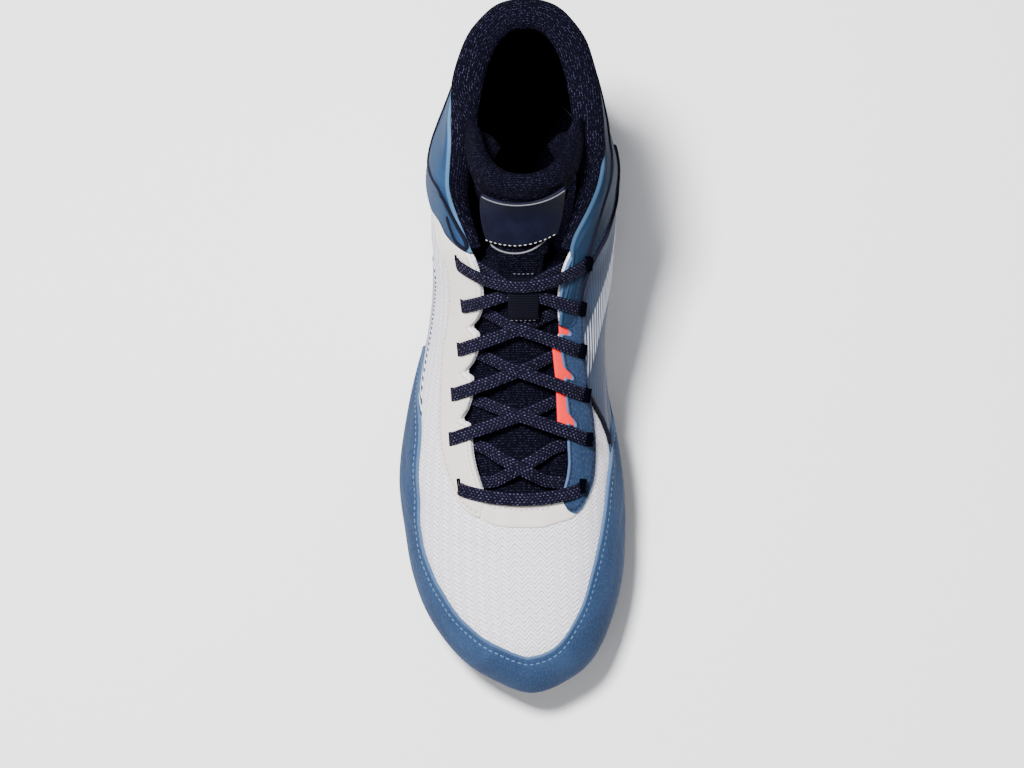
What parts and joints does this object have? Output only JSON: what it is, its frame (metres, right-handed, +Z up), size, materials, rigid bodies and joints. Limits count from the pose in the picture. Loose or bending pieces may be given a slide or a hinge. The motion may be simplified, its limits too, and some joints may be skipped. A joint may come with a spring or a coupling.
{
  "type": "wrestling shoe",
  "caption": "High-cut right wrestling shoe with a hollow knit and mesh upper, padded collar and tongue, flat crossed laces and a thin lugged rubber sole.",
  "frame": {"origin": "the point on the ground under the middle of the heel's flat tread", "axes": "+Z up, -Y towards the toe, +X towards the medial side, so +Y is the heel"},
  "size_m": [0.0975, 0.2832, 0.153],
  "materials": {
    "outsole": "matt",
    "insole": "matt",
    "upper": "herringbone mesh",
    "blue_suede": "suede-like",
    "blue_panel": "satin",
    "lined_panel": "fine raised lines",
    "cream_leather": "satin",
    "coral_trim": "satin",
    "navy_knit": "knit",
    "label": "plain patch",
    "lace": "flat woven"
  },
  "bodies": {
    "root": {"outsole": "outsole", "insole": "insole", "upper": "upper", "toe_rand": "blue_suede", "heel_counter": "blue_suede", "eyestay_lateral": "cream_leather", "eyestay_medial": "blue_suede", "vamp_bar": "cream_leather", "ankle_panel_lateral": "blue_panel", "ankle_panel_medial": "blue_panel", "side_panel_lateral": "lined_panel", "side_panel_medial": "lined_panel", "throat_trim": "coral_trim", "collar_padding": "navy_knit", "tongue": "navy_knit", "tongue_label": "label", "lace_keeper": "lace", "lace_bar_bottom": "lace", "lace_cross_1": "lace", "lace_cross_2": "lace", "lace_cross_3": "lace", "lace_cross_4": "lace", "lace_cross_5": "lace", "lace_bar_top": "lace"}
  },
  "joints": []
}
